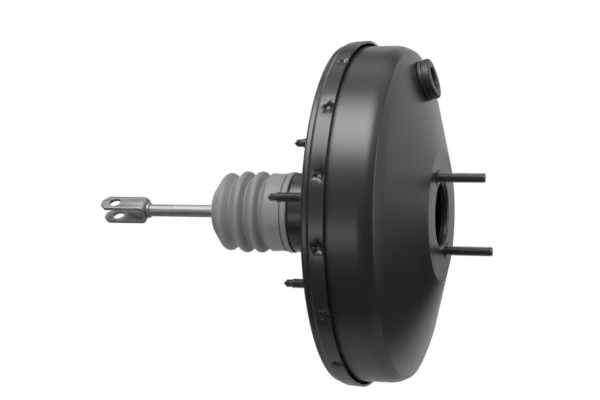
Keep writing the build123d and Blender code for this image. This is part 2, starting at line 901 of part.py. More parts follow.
def input_rod():
    web = -fork_web
    shaft = turned(
        (web - fork_strap - tenon_proud, 0),
        (web - fork_strap - tenon_proud, tenon_radius - tenon_proud),
        (web - fork_strap, tenon_radius),
        (web, tenon_radius),
        (web, rod_collar_radius),
        (web + rod_collar_length, rod_collar_radius),
        (web + 2 * rod_collar_length, input_rod_radius),
        (plunger_end - input_neck_length, input_rod_radius),
        (plunger_end - input_neck_length + input_neck_cone, input_neck_radius),
        (ball_x, input_neck_radius),
        (ball_x, 0),
    )
    return shaft + Pos(ball_x, 0, 0) * Sphere(ball_radius)


def clevis_fork():
    # strap bent to a U, with cut corners and a pin hole in each ear
    half = fork_gap / 2 + fork_strap
    web = -fork_web
    tip = web - fork_length
    turn = math.radians(fork_angle)
    across = Plane(origin=(0, 0, 0), x_dir=(1, 0, 0), z_dir=(0, -math.sin(turn), math.cos(turn)))
    corners = [(tip, half), (web, half), (web, -half), (tip, -half)]
    line = FilletPolyline(*corners, radius=[fork_bend, fork_bend])
    strap = extrude(make_face(offset(line, amount=fork_strap, side=Side.RIGHT)), fork_width / 2, both=True)
    side = fork_width / 2
    blank = make_face(
        Polyline(
            (web, side),
            (tip + fork_chamfer, side),
            (tip, side - fork_chamfer),
            (tip, fork_chamfer - side),
            (tip + fork_chamfer, -side),
            (web, -side),
            close=True,
        )
    )
    blank -= Pos(tip + fork_pin_setback, 0) * Circle(fork_pin_radius)
    ears = Rot(90, 0, 0) * extrude(blank, 2 * half, both=True)
    fork = across * (strap & ears)
    return fork - bar(web - 2 * fork_strap, web + fork_strap, tenon_radius + press_fit)


parts = {
    "front_shell": front_shell(),
    "rear_shell": rear_shell(),
    "front_reinforcement_plate": front_reinforcement_plate(),
    "rear_reinforcement_plate": rear_reinforcement_plate(),
    "front_studs": front_studs(),
    "rear_studs": rear_studs(),
    "stud_star_rings": stud_star_rings(),
    "vacuum_port_grommet": vacuum_port_grommet(),
    "neck_seal": neck_seal(),
    "seal_retainer": seal_retainer(),
    "guide_bush": guide_bush(),
    "dust_boot": dust_boot(),
    "diaphragm": diaphragm(),
    "diaphragm_plate": diaphragm_plate(),
    "valve_body": valve_body(),
    "return_spring": return_spring(),
    "reaction_disc": reaction_disc(),
    "output_rod": output_rod(),
    "output_rod_cap": output_rod_cap(),
    "stop_key": stop_key(),
    "poppet_valve": poppet_valve(),
    "poppet_cup": poppet_cup(),
    "poppet_spring": poppet_spring(),
    "rod_return_spring": rod_return_spring(),
    "rod_spring_seat": rod_spring_seat(),
    "air_filter": air_filter(),
    "silencer_ring": silencer_ring(),
    "tail_cap": tail_cap(),
    "valve_plunger": valve_plunger(),
    "input_rod": input_rod(),
    "clevis_fork": clevis_fork(),
}

os.makedirs("parts", exist_ok=True)
for name, shape in parts.items():
    solids = shape if isinstance(shape, list) else [shape]
    children = [solid for item in solids for solid in item.solids()]
    export_step(children[0] if len(children) == 1 else Compound(children=children), f"parts/{name}.step")
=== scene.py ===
import bpy
import bmesh
import math
from mathutils import Matrix, Vector, noise


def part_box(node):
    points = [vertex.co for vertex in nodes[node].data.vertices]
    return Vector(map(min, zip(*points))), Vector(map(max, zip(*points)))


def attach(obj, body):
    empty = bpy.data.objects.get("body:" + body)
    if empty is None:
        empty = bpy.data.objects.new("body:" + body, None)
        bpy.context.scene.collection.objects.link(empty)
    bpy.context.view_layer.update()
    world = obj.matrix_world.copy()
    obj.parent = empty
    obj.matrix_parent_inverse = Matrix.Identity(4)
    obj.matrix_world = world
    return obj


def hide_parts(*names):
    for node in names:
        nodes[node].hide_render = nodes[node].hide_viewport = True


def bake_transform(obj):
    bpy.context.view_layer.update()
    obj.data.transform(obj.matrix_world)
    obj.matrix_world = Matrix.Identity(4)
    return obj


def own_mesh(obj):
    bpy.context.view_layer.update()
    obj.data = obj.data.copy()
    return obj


# A vacuum brake booster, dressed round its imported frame. Lengths are in metres, X is the axis.

mm = 0.001
weldGap = 0.001 * mm
leastEdge = 0.0005 * mm
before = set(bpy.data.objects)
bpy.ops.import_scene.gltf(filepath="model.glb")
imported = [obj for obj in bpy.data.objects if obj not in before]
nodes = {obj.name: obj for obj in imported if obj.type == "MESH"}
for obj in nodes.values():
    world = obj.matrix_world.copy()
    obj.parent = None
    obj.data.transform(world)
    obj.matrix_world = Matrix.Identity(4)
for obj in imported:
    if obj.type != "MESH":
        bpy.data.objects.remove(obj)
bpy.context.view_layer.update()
print("frame loaded:", len(nodes), "nodes")


# Shader maths

class Wire:
    # a shader value that can be added, taken off and multiplied like a number
    def __init__(self, graph, socket):
        self.graph = graph
        self.socket = socket

    def other(self, key):
        # another output of the same node
        return Wire(self.graph, self.socket.node.outputs[key])

    def __add__(self, value):
        return self.graph.maths("ADD", self, value)

    def __radd__(self, value):
        return self.graph.maths("ADD", value, self)

    def __sub__(self, value):
        return self.graph.maths("SUBTRACT", self, value)

    def __rsub__(self, value):
        return self.graph.maths("SUBTRACT", value, self)

    def __mul__(self, value):
        return self.graph.maths("MULTIPLY", self, value)

    def __rmul__(self, value):
        return self.graph.maths("MULTIPLY", value, self)


class Graph:
    # a node tree, with one method that makes every node
    def __init__(self, tree):
        self.tree = tree

    def node(self, kind, settings=None, inputs=None, output=0):
        made = self.tree.nodes.new(kind)
        for key, value in (settings or {}).items():
            if key == "stops":
                self.setStops(made.color_ramp, value)
            else:
                setattr(made, key, value)
        for key, value in (inputs or {}).items():
            self.join(value, made.inputs[key])
        return Wire(self, made.outputs[output])

    def setStops(self, ramp, stops):
        while len(ramp.elements) < len(stops):
            ramp.elements.new(0.5)
        for element, (place, level) in zip(ramp.elements, stops):
            element.position = place
            element.color = (level, level, level, 1)

    def join(self, value, socket):
        if isinstance(value, Wire):
            self.tree.links.new(value.socket, socket)
        else:
            socket.default_value = value

    def maths(self, operation, first, second):
        return self.node("ShaderNodeMath", {"operation": operation}, {0: first, 1: second})

    def mixColour(self, share, first, second):
        inputs = {0: share, 6: first, 7: second}
        return self.node("ShaderNodeMix", {"data_type": "RGBA"}, inputs, 2)

    def mixShader(self, share, first, second):
        return self.node("ShaderNodeMixShader", inputs={0: share, 1: first, 2: second})

    def ramp(self, value, low, high):
        stops = {"stops": [(low, 0.0), (high, 1.0)]}
        return self.node("ShaderNodeValToRGB", stops, {"Fac": value})


class Finish(Graph):
    # one material: constants go on the shader, the rest comes from nodes
    def __init__(self, name, **constants):
        self.material = bpy.data.materials.new(name)
        self.material.use_nodes = True
        super().__init__(self.material.node_tree)
        self.shader = self.tree.nodes["Principled BSDF"]
        for key, value in constants.items():
            self.shader.inputs[key.replace("_", " ")].default_value = value

    def cloud(self, scale, detail=3.0, stretch=(1, 1, 1)):
        # noise on object coordinates, stretched so that grain can run one way
        point = self.node("ShaderNodeTexCoord", output=3)
        spot = self.node("ShaderNodeMapping", inputs={"Vector": point, "Scale": stretch})
        return self.node("ShaderNodeTexNoise", inputs={"Vector": spot, "Scale": scale, "Detail": detail})

    def feed(self, socket, value):
        self.join(value, self.shader.inputs[socket])

    def tint(self, share, look):
        self.feed("Base Color", self.mixColour(share, look["dark"], look["light"]))

    def bump(self, height, strength, distance):
        inputs = {"Height": height, "Strength": strength, "Distance": distance}
        self.feed("Normal", self.node("ShaderNodeBump", inputs=inputs))

    def wholeShader(self):
        return Wire(self, self.shader.outputs[0])

    def close(self, shader):
        self.join(shader, self.tree.nodes["Material Output"].inputs["Surface"])


def grey(level, warmth=0.0):
    return (level * (1 + warmth), level, level * (1 - warmth), 1)


# Finishes, one function for each of the record's material slots.
# A noise is given as scale, detail and stretch, and a bump as strength and distance.

paint = dict(
    dark=grey(0.0085),
    light=grey(0.0125),
    patch=(22, 3.0),
    peel=(1 / (1.4 * mm), 2.0),
    fine=(4200, 1.0),
    dust=(1900, 0.0),
    dustRange=(0.70, 0.78),
    roughness=0.29,
    patchRoughness=0.09,
    fineRoughness=0.05,
    dustRoughness=0.12,
    fineHeight=0.15,
    bump=(0.45, 0.08 * mm),
)


def blackPaint():
    made = Finish("blackPaint", Specular_IOR_Level=0.5)
    peel = made.cloud(*paint["peel"])
    fine = made.cloud(*paint["fine"])
    patch = made.cloud(*paint["patch"])
    dust = made.ramp(made.cloud(*paint["dust"]), *paint["dustRange"])
    made.tint(patch, paint)
    rough = patch * paint["patchRoughness"] + fine * paint["fineRoughness"]
    made.feed("Roughness", rough + dust * paint["dustRoughness"] + paint["roughness"])
    made.bump(peel + fine * paint["fineHeight"], *paint["bump"])
    return made.material


steel = dict(
    dark=grey(0.07),
    light=grey(0.10),
    grain=(2600, 3.0),
    wear=(300, 2.0),
    wearRange=(0.50, 0.80),
    metal=0.7,
    wearMetal=0.2,
    roughness=0.22,
    grainRoughness=0.10,
    bump=(0.2, 0.01 * mm),
)


def blackSteel():
    made = Finish("blackSteel", Specular_IOR_Level=0.5)
    grain = made.cloud(*steel["grain"])
    wear = made.ramp(made.cloud(*steel["wear"]), *steel["wearRange"])
    made.tint(wear, steel)
    made.feed("Metallic", wear * steel["wearMetal"] + steel["metal"])
    made.feed("Roughness", grain * steel["grainRoughness"] + steel["roughness"])
    made.bump(grain, *steel["bump"])
    return made.material


zinc = dict(
    dark=grey(0.17, 0.004),
    light=grey(0.32, 0.006),
    drawn=(1100, 4.0, (0.02, 1, 1)),
    grain=(2300, 2.0),
    film=(60, 3.0),
    drawnShare=0.75,
    streakRange=(0.38, 0.64),
    metal=0.94,
    filmMetal=0.04,
    roughness=0.44,
    streakRoughness=0.10,
    grainRoughness=0.12,
    drawnHeight=0.7,
    grainHeight=0.5,
    bump=(0.5, 0.03 * mm),
)


def zincSteel():
    made = Finish("zincSteel")
    drawn = made.cloud(*zinc["drawn"])
    grain = made.cloud(*zinc["grain"])
    film = made.cloud(*zinc["film"])
    share = zinc["drawnShare"]
    streak = made.ramp(drawn * share + grain * (1 - share), *zinc["streakRange"])
    made.tint(streak, zinc)
    made.feed("Metallic", film * zinc["filmMetal"] + zinc["metal"])
    rough = streak * zinc["streakRoughness"] + grain * zinc["grainRoughness"]
    made.feed("Roughness", rough + zinc["roughness"])
    made.bump(drawn * zinc["drawnHeight"] + grain * zinc["grainHeight"], *zinc["bump"])
    return made.material


bare = dict(
    dark=grey(0.30, 0.01),
    light=grey(0.42, 0.02),
    rolled=(500, 3.0, (1, 0.1, 1)),
    film=(35, 3.0),
    metal=0.94,
    filmMetal=0.05,
    roughness=0.26,
    rolledRoughness=0.15,
    filmRoughness=0.12,
    bump=(0.3, 0.02 * mm),
)


def bareSteel():
    made = Finish("bareSteel")
    rolled = made.cloud(*bare["rolled"])
    film = made.cloud(*bare["film"])
    made.tint(film, bare)
    made.feed("Metallic", film * bare["filmMetal"] + bare["metal"])
    rough = rolled * bare["rolledRoughness"] + film * bare["filmRoughness"]
    made.feed("Roughness", rough + bare["roughness"])
    made.bump(rolled, *bare["bump"])
    return made.material


springLook = dict(
    dark=grey(0.12, -0.01),
    light=grey(0.25, 0.01),
    scale=(1300, 3.0),
    metal=0.85,
    scaleMetal=0.1,
    roughness=0.28,
    scaleRoughness=0.2,
    bump=(0.3, 0.02 * mm),
)


def springSteel():
    made = Finish("springSteel")
    scale = made.cloud(*springLook["scale"])
    made.tint(scale, springLook)
    made.feed("Metallic", scale * springLook["scaleMetal"] + springLook["metal"])
    made.feed("Roughness", scale * springLook["scaleRoughness"] + springLook["roughness"])
    made.bump(scale, *springLook["bump"])
    return made.material


rubber = dict(
    dark=grey(0.010),
    light=grey(0.018),
    skin=(1500, 3.0),
    bloom=(45, 3.0),
    roughness=0.36,
    skinRoughness=0.15,
    bloomRoughness=0.1,
    bump=(0.35, 0.04 * mm),
)


def blackRubber():
    made = Finish("blackRubber", Specular_IOR_Level=0.45)
    skin = made.cloud(*rubber["skin"])
    bloom = made.cloud(*rubber["bloom"])
    made.tint(bloom, rubber)
    rough = skin * rubber["skinRoughness"] + bloom * rubber["bloomRoughness"]
    made.feed("Roughness", rough + rubber["roughness"])
    made.bump(skin, *rubber["bump"])
    return made.material


bootLook = dict(
    dark=grey(0.120),
    light=grey(0.150),
    skin=(1700, 4.0),
    bloom=(38, 3.0),
    streak=(260, 3.0, (0.15, 1, 1)),
    bloomShare=0.6,
    roughness=0.44,
    skinRoughness=0.12,
    bloomRoughness=0.1,
    streakHeight=0.3,
    bump=(0.3, 0.05 * mm),
)


def bootRubber():
    made = Finish("bootRubber", Specular_IOR_Level=0.4)
    skin = made.cloud(*bootLook["skin"])
    bloom = made.cloud(*bootLook["bloom"])
    streak = made.cloud(*bootLook["streak"])
    share = bootLook["bloomShare"]
    made.tint(bloom * share + streak * (1 - share), bootLook)
    rough = skin * bootLook["skinRoughness"] + bloom * bootLook["bloomRoughness"]
    made.feed("Roughness", rough + bootLook["roughness"])
    made.bump(skin + streak * bootLook["streakHeight"], *bootLook["bump"])
    return made.material


plastic = dict(
    dark=grey(0.022, 0.12),
    light=grey(0.040, 0.14),
    flow=(90, 4.0, (0.4, 1, 1)),
    skin=(1900, 2.0),
    roughness=0.34,
    flowRoughness=0.12,
    skinRoughness=0.1,
    bump=(0.25, 0.03 * mm),
)


def mouldedPlastic():
    made = Finish("mouldedPlastic", Specular_IOR_Level=0.45)
    flow = made.cloud(*plastic["flow"])
    skin = made.cloud(*plastic["skin"])
    made.tint(flow, plastic)
    rough = flow * plastic["flowRoughness"] + skin * plastic["skinRoughness"]
    made.feed("Roughness", rough + plastic["roughness"])
    made.bump(skin, *plastic["bump"])
    return made.material


nylonLook = dict(
    dark=grey(0.52, 0.08),
    light=grey(0.60, 0.05),
    flow=(70, 3.0),
    skin=(1600, 2.0),
    roughness=0.36,
    skinRoughness=0.15,
    bump=(0.25, 0.03 * mm),
)


def nylon():
    made = Finish("nylon", Specular_IOR_Level=0.5)
    flow = made.cloud(*nylonLook["flow"])
    skin = made.cloud(*nylonLook["skin"])
    made.tint(flow, nylonLook)
    made.feed("Roughness", skin * nylonLook["skinRoughness"] + nylonLook["roughness"])
    made.bump(skin, *nylonLook["bump"])
    return made.material


felt = dict(
    dark=grey(0.20, 0.08),
    light=grey(0.42, 0.1),
    fibre=(1400, 5.0, (1, 0.35, 1)),
    tuft=(320, 4.0),
    roughness=0.86,
    fibreRoughness=0.1,
    bump=(0.8, 0.25 * mm),
)


def filterFelt():
    made = Finish("filterFelt", Specular_IOR_Level=0.2)
    fibre = made.cloud(*felt["fibre"])
    tuft = made.cloud(*felt["tuft"])
    made.tint(fibre, felt)
    made.feed("Roughness", fibre * felt["fibreRoughness"] + felt["roughness"])
    made.bump(fibre + tuft, *felt["bump"])
    return made.material


finishes = {
    "black_paint": blackPaint(),
    "black_steel": blackSteel(),
    "bare_steel": bareSteel(),
    "zinc_steel": zincSteel(),
    "spring_steel": springSteel(),
    "black_rubber": blackRubber(),
    "boot_rubber": bootRubber(),
    "moulded_plastic": mouldedPlastic(),
    "nylon": nylon(),
    "filter_felt": filterFelt(),
}
for node in nodes.values():
    for place in node.material_slots:
        place.material = finishes[place.material.name.split(".")[0]]
print("finishes made:", len(finishes))


# Lines and turned shapes

leastTurn = 0.01
leastBend = 0.15 * mm
sharpTurn = 35


def cornerTurn(before, corner, after):
    return (corner - before).angle_signed(after - corner, 0)


def spun(point, angle):
    cos = math.cos(angle)
    sin = math.sin(angle)
    return Vector((point.x * cos - point.y * sin, point.x * sin + point.y * cos))


def bendLine(points, bends, step=7.5):
    # rounds each inner corner of a line with an arc of its own radius, in steps of some degrees
    points = [Vector(p) for p in points]
    line = [points[0]]
    for i, radius in enumerate(bends, 1):
        before, corner, after = points[i - 1:i + 2]
        turn = abs(cornerTurn(before, corner, after))
        if radius <= 0 or turn < leastTurn:
            line.append(corner)
            continue
        back = (before - corner).normalized()
        ahead = (after - corner).normalized()
        reach = radius * math.tan(turn / 2)
        middle = corner + (back + ahead).normalized() * radius / math.cos(turn / 2)
        start = corner + back * reach - middle
        end = corner + ahead * reach - middle
        sweep = -start.angle_signed(end)
        count = max(2, math.ceil(math.degrees(turn) / step))
        line += [middle + spun(start, sweep * k / count) for k in range(count + 1)]
    line.append(points[-1])
    return line


def offsetLine(points, gap):
    # the same corners, moved to the left of the line by a gap
    points = [Vector(p) for p in points]
    normals = []
    for a, b in zip(points, points[1:]):
        way = (b - a).normalized()
        normals.append(Vector((-way.y, way.x)))
    moved = [points[0] + normals[0] * gap]
    for i in range(1, len(points) - 1):
        first, second = normals[i - 1], normals[i]
        moved.append(points[i] + (first + second) * gap / (1 + first.dot(second)))
    moved.append(points[-1] + normals[-1] * gap)
    return moved


def sheetLoop(points, bends, sheet, step=7.5):
    # closed section of a bent sheet, with its thickness to the left of the line
    points = [Vector(p) for p in points]
    inner = []
    for i, radius in enumerate(bends, 1):
        turn = cornerTurn(*points[i - 1:i + 2])
        inner.append(max(radius + math.copysign(1, turn) * sheet, leastBend))
    skin = bendLine(points, bends, step)
    back = bendLine(offsetLine(points, sheet), inner, step)
    return skin + back[::-1]


def addRows(line, start, end, spacing):
    # adds points on the straight runs of a line between two places along X
    rows = [line[0]]
    for a, b in zip(line, line[1:]):
        inside = start < (a.x + b.x) / 2 < end
        count = max(1, math.ceil((b - a).length / spacing)) if inside else 1
        rows += [a.lerp(b, k / count) for k in range(1, count + 1)]
    return rows


def clipLoop(loop, place, front):
    # the part of a closed section in front of a place along X, or behind it
    kept = []
    for a, b in zip(loop, loop[1:] + loop[:1]):
        if (a.x >= place) == front:
            kept.append(a)
        if (a.x - place) * (b.x - place) < 0:
            kept.append(a.lerp(b, (place - a.x) / (b.x - a.x)))
    return kept


def turnPoints(section, count):
    points = []
    for x, radius in section:
        for k in range(count):
            a = 2 * math.pi * k / count
            points.append((x, radius * math.cos(a), radius * math.sin(a)))
    return points


def turnFaces(rows, count, closed):
    # faces between rings of points that follow each other
    faces = []
    for i in range(rows if closed else rows - 1):
        j = (i + 1) % rows
        for k in range(count):
            n = (k + 1) % count
            faces.append((i * count + k, i * count + n, j * count + n, j * count + k))
    return faces


def addObject(name, mesh):
    made = bpy.data.objects.new(name, mesh)
    bpy.context.scene.collection.objects.link(made)
    return made


def smooth(mesh, sharp):
    # smooth shading, but for edges that turn by more than some degrees
    mesh.shade_smooth()
    mesh.set_sharp_from_angle(angle=math.radians(sharp))


def applyModifiers(made, sharp):
    graph = bpy.context.evaluated_depsgraph_get()
    done = bpy.data.meshes.new_from_object(made.evaluated_get(graph))
    made.modifiers.clear()
    made.data = done
    smooth(done, sharp)


def makePiece(name, points, faces, body, slotName, replaced, sharp=sharpTurn):
    mesh = bpy.data.meshes.new(name)
    mesh.from_pydata([tuple(p) for p in points], [], faces)
    work = bmesh.new()
    work.from_mesh(mesh)
    bmesh.ops.remove_doubles(work, verts=work.verts, dist=weldGap)
    bmesh.ops.dissolve_degenerate(work, edges=work.edges, dist=leastEdge)
    bmesh.ops.recalc_face_normals(work, faces=work.faces)
    work.to_mesh(mesh)
    work.free()
    smooth(mesh, sharp)
    made = addObject(name, mesh)
    mesh.materials.append(finishes[slotName])
    if body:
        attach(made, body)
    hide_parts(*replaced)
    return made


def turned(name, section, body, slotName, replaced, count=128, closed=True, move=None):
    points = turnPoints(section, count)
    if move:
        points = [move @ Vector(p) for p in points]
    faces = turnFaces(len(section), count, closed)
    return makePiece(name, points, faces, body, slotName, replaced)


def onCircle(radius, degrees):
    turn = math.radians(degrees)
    return Vector((0, radius * math.cos(turn), radius * math.sin(turn)))


# Front shell: a deep drawn drum with a shallow cone and a flat pad, port hole cut in the cone

frontShell = dict(
    sheet=1.6 * mm,
    padRadius=53 * mm,
    drumRadius=135 * mm,
    flangeFront=28.6 * mm,
    flangeRadius=136.7 * mm,
    drumSetback=31.3 * mm,
    bevelSetback=24 * mm,
    bevelInset=4 * mm,
    coneSetback=19.5 * mm,
    coneInset=14 * mm,
    pilotRadius=25.8 * mm,
    collarDepth=6 * mm,
    portAngle=91,
    portInset=14.5 * mm,
    portHole=12.45 * mm,
    portCut=12 * mm,
    portFacets=64,
    bends=(0.8 * mm, 20 * mm, 2.2 * mm, 60 * mm, 3 * mm, 2.6 * mm),
    bendStep=2,
    facets=288,
)
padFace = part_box("front_shell")[1].x


def portPlace():
    # the port's own frame on the cone, with X pointing out of the shell
    cone = frontShell["drumRadius"] - frontShell["coneInset"]
    rise = frontShell["coneSetback"] / (cone - frontShell["padRadius"])
    circle = cone - frontShell["portInset"]
    tilt = math.atan(rise)
    x = padFace - (circle - frontShell["padRadius"]) * rise
    origin = onCircle(circle, frontShell["portAngle"]) + Vector((x, 0, 0))
    axis = onCircle(math.sin(tilt), frontShell["portAngle"]) + Vector((math.cos(tilt), 0, 0))
    spin = Vector((1, 0, 0)).rotation_difference(axis).to_matrix().to_4x4()
    return Matrix.Translation(origin) @ spin


def cutHole(made, place, radius, depth, facets):
    # a round hole through a piece, along X of its own frame
    work = bmesh.new()
    turn = Matrix.Rotation(math.radians(90), 4, "Y")
    sizes = dict(radius1=radius, radius2=radius, depth=depth)
    bmesh.ops.create_cone(work, cap_ends=True, segments=facets, **sizes)
    work.transform(place @ turn)
    mesh = bpy.data.meshes.new("cutter")
    work.to_mesh(mesh)
    work.free()
    cutter = addObject("cutter", mesh)
    cut = made.modifiers.new("hole", "BOOLEAN")
    cut.object = cutter
    cut.operation = "DIFFERENCE"
    cut.solver = "EXACT"
    applyModifiers(made, sharpTurn)
    bpy.data.objects.remove(cutter)


def makeFrontShell():
    edge = frontShell["drumRadius"]
    points = [
        (frontShell["flangeFront"], frontShell["flangeRadius"]),
        (frontShell["flangeFront"], edge),
        (padFace - frontShell["drumSetback"], edge),
        (padFace - frontShell["bevelSetback"], edge - frontShell["bevelInset"]),
        (padFace - frontShell["coneSetback"], edge - frontShell["coneInset"]),
        (padFace, frontShell["padRadius"]),
        (padFace, frontShell["pilotRadius"]),
        (padFace - frontShell["collarDepth"], frontShell["pilotRadius"]),
    ]
    section = sheetLoop(points, frontShell["bends"], -frontShell["sheet"], frontShell["bendStep"])
    facets = frontShell["facets"]
    shell = turned("front_shell_drawn", section, "housing", "black_paint", ["front_shell"], facets)
    hole = (frontShell["portHole"], frontShell["portCut"], frontShell["portFacets"])
    cutHole(shell, portPlace(), *hole)


makeFrontShell()
print("front shell made")


# Rear shell: pan, neck and the rolled rim with its stakes

rearShell = dict(
    sheet=1.8 * mm,
    flare=0.7 * mm,
    rootStep=2.5 * mm,
    rootLength=5 * mm,
    stepLength=2 * mm,
    shoulder=17.6 * mm,
    panEdgeStep=7.3 * mm,
    faceRadius=70 * mm,
    neckRadius=32.6 * mm,
    neckLength=26 * mm,
    neckStep=2.6 * mm,
    rimInside=130 * mm,
    bends=(1 * mm, 1 * mm, 2.4 * mm, 6 * mm, 8 * mm, 1.5 * mm, 2 * mm, 0.4 * mm),
)
stakes = dict(
    count=16,
    angle=7.7,
    place=31.8 * mm,
    pit=2.9 * mm,
    pitSteepness=2.6,
    depth=2.4 * mm,
    jag=0.25,
    jagScale=900,
    jagStep=7.3,
    arms=5,
    armDepth=1.3 * mm,
    armSharpness=4,
    armReach=1.1,
    armWidth=0.7,
    twist=0.9,
    spread=7.4 * mm,
    swell=0.8 * mm,
    reachLimit=2.2,
    innerShare=0.6,
    shellGap=0.4 * mm,
    leastSheet=0.9 * mm,
    rowSpacing=0.45 * mm,
    rowReach=7 * mm,
    columns=52,
)


def rearShellSection():
    low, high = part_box("rear_shell")
    edge = high.z
    wall = edge - rearShell["flare"]
    root = wall - rearShell["rootStep"]
    shoulder = rearShell["shoulder"]
    stepRear = shoulder + rearShell["rootLength"]
    neck = rearShell["neckRadius"]
    points = [
        (high.x, edge),
        (stepRear + rearShell["stepLength"], wall),
        (stepRear, root),
        (shoulder, root),
        (shoulder, root - rearShell["panEdgeStep"]),
        (0, rearShell["faceRadius"]),
        (0, neck),
        (-rearShell["neckLength"], neck),
        (-rearShell["neckLength"], neck - rearShell["neckStep"]),
        (low.x, neck - rearShell["neckStep"]),
    ]
    loop = sheetLoop(points, rearShell["bends"], rearShell["sheet"])
    start = stakes["place"] - stakes["rowReach"]
    return addRows(loop + [loop[0]], start, high.x, stakes["rowSpacing"])[:-1]


def stakeDent(x, y, z):
    # how far a point of the rim band is pressed towards the axis
    radius = math.hypot(y, z)
    pitch = 360 / stakes["count"]
    angle = math.degrees(math.atan2(z, y)) - stakes["angle"]
    off = (angle + pitch / 2) % pitch - pitch / 2
    index = round((angle - off) / pitch)
    across = math.radians(off) * radius
    along = x - stakes["place"]
    reach = math.hypot(across, along)
    if reach > stakes["reachLimit"] * stakes["spread"]:
        return 0
    pit = stakes["pit"]
    turn = math.atan2(across, along) + stakes["twist"] * index
    wave = 0.5 + 0.5 * math.cos(stakes["arms"] * turn)
    scale = stakes["jagScale"]
    jag = 1 + stakes["jag"] * noise.noise((across * scale, along * scale, index * stakes["jagStep"]))
    bowl = math.exp(-(reach / pit) ** stakes["pitSteepness"])
    ring = math.exp(-((reach - stakes["armReach"] * pit) / (stakes["armWidth"] * pit)) ** 2)
    arm = wave ** stakes["armSharpness"] * ring
    pull = math.exp(-(reach / stakes["spread"]) ** 2)
    return stakes["depth"] * bowl * jag + stakes["armDepth"] * arm + stakes["swell"] * pull


def makeRearShell():
    section = rearShellSection()
    count = stakes["count"] * stakes["columns"]
    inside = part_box("rear_shell")[1].z - rearShell["flare"] - rearShell["sheet"] / 2
    keepOff = frontShell["drumRadius"] + stakes["shellGap"]
    band = rearShell["shoulder"] + rearShell["rootLength"]
    points = []
    for x, y, z in turnPoints(section, count):
        radius = math.hypot(y, z)
        if x > band and radius > rearShell["rimInside"]:
            dent = stakeDent(x, y, z)
            least = keepOff + stakes["leastSheet"]
            if radius < inside:
                dent *= stakes["innerShare"]
                least = keepOff
            dented = max(radius - dent, least)
            y, z = y * dented / radius, z * dented / radius
        points.append((x, y, z))
    faces = turnFaces(len(section), count, True)
    return makePiece("rear_shell_staked", points, faces, "housing", "black_paint", ["rear_shell"], 40)


makeRearShell()
print("rear shell made")


# Threaded studs

studs = dict(
    radius=4 * mm,
    slack=0.03 * mm,
    pitch=1.82 * mm,
    threadDepth=0.95 * mm,
    threadStart=1.2 * mm,
    flankSlope=1.5,
    rootFlat=0.1,
    runout=0.7,
    runoutDepth=0.15,
    chamfer=1.1 * mm,
    frontCircle=34.9 * mm,
    frontAngle=120.5,
    rearCircle=59 * mm,
    rearAngle=165.5,
    pilotRadius=3.15 * mm,
    pilotLength=5.4 * mm,
    pilotFillet=(0.15 * mm, 0.1 * mm, 0.5 * mm),
    pointLength=2.6 * mm,
    pointRadius=0.7 * mm,
    pointEdge=0.2 * mm,
    pointFlat=0.3 * mm,
    around=36,
    perTurn=12,
)


def studPoint(threadEnd, length):
    # plain pilot and cone point behind the thread, as places and radii
    pilot = studs["pilotRadius"]
    edge = studs["pointEdge"]
    first, rise, last = studs["pilotFillet"]
    cone = length - studs["pointLength"]
    return [
        (threadEnd + first, pilot + rise),
        (threadEnd + last, pilot),
        (cone - edge, pilot),
        (cone + first, pilot - edge),
        (length - edge, studs["pointRadius"]),
        (length, studs["pointFlat"]),
    ]


def threadRadius(row, turn, threadEnd):
    # radius of the helical thread at a place along the stud and a share of a turn
    pitch = studs["pitch"]
    phase = (row / pitch - turn) % 1
    flank = min(max(abs(2 * phase - 1) * studs["flankSlope"] - studs["rootFlat"], 0), 1)
    fadeIn = max(0, row - studs["threadStart"]) / pitch
    fadeOut = (threadEnd - row) / (studs["runout"] * pitch) + studs["runoutDepth"]
    depth = studs["threadDepth"] * (1 - flank) * min(1, fadeIn, fadeOut)
    return studs["radius"] - studs["slack"] - depth


def threadedStud(name, foot, tip, way, centre, replaced, pointed):
    around = studs["around"]
    length = abs(tip - foot)
    threadEnd = length - (studs["pilotLength"] + studs["pointLength"] if pointed else 0)
    rows = [0.0]
    while rows[-1] < threadEnd:
        rows.append(min(rows[-1] + studs["pitch"] / studs["perTurn"], threadEnd))
    points = [(0.0, 0.0, k / around) for k in range(around)]
    for row in rows:
        chamfered = studs["radius"] - studs["chamfer"] + (threadEnd - row)
        for k in range(around):
            radius = threadRadius(row, k / around, threadEnd)
            points.append((row, radius if pointed else min(radius, chamfered), k / around))
    ends = studPoint(threadEnd, length) if pointed else []
    for row, radius in ends + [(length, 0.0)]:
        points += [(row, radius, k / around) for k in range(around)]
    spots = []
    for row, radius, turn in points:
        a = 2 * math.pi * turn
        spots.append(centre + Vector((foot + way * row, radius * math.cos(a), radius * math.sin(a))))
    faces = turnFaces(len(points) // around, around, False)
    return makePiece(name, spots, faces, "housing", "black_steel", replaced, 50)


def frontStudCentre(i):
    return onCircle(studs["frontCircle"], studs["frontAngle"] + 180 * i)


def makeStuds():
    low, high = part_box("front_studs")
    for i in range(2):
        threadedStud(f"front_stud_{i + 1}", low.x, high.x, 1, frontStudCentre(i), ["front_studs"], False)
    low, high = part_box("rear_studs")
    for i in range(4):
        centre = onCircle(studs["rearCircle"], studs["rearAngle"] + 90 * i)
        threadedStud(f"rear_stud_{i + 1}", high.x, low.x, -1, centre, ["rear_studs"], True)


makeStuds()
print("studs made")


# Star rings round the front studs, with thin teeth that lift off the pad

starRing = dict(
    teeth=9,
    steps=8,
    slope=3.2,
    hole=4.1 * mm,
    root=5.0 * mm,
    fold=0.2 * mm,
    tip=6.9 * mm,
    sheet=0.35 * mm,
    lift=0.9 * mm,
    sink=0.05 * mm,
)


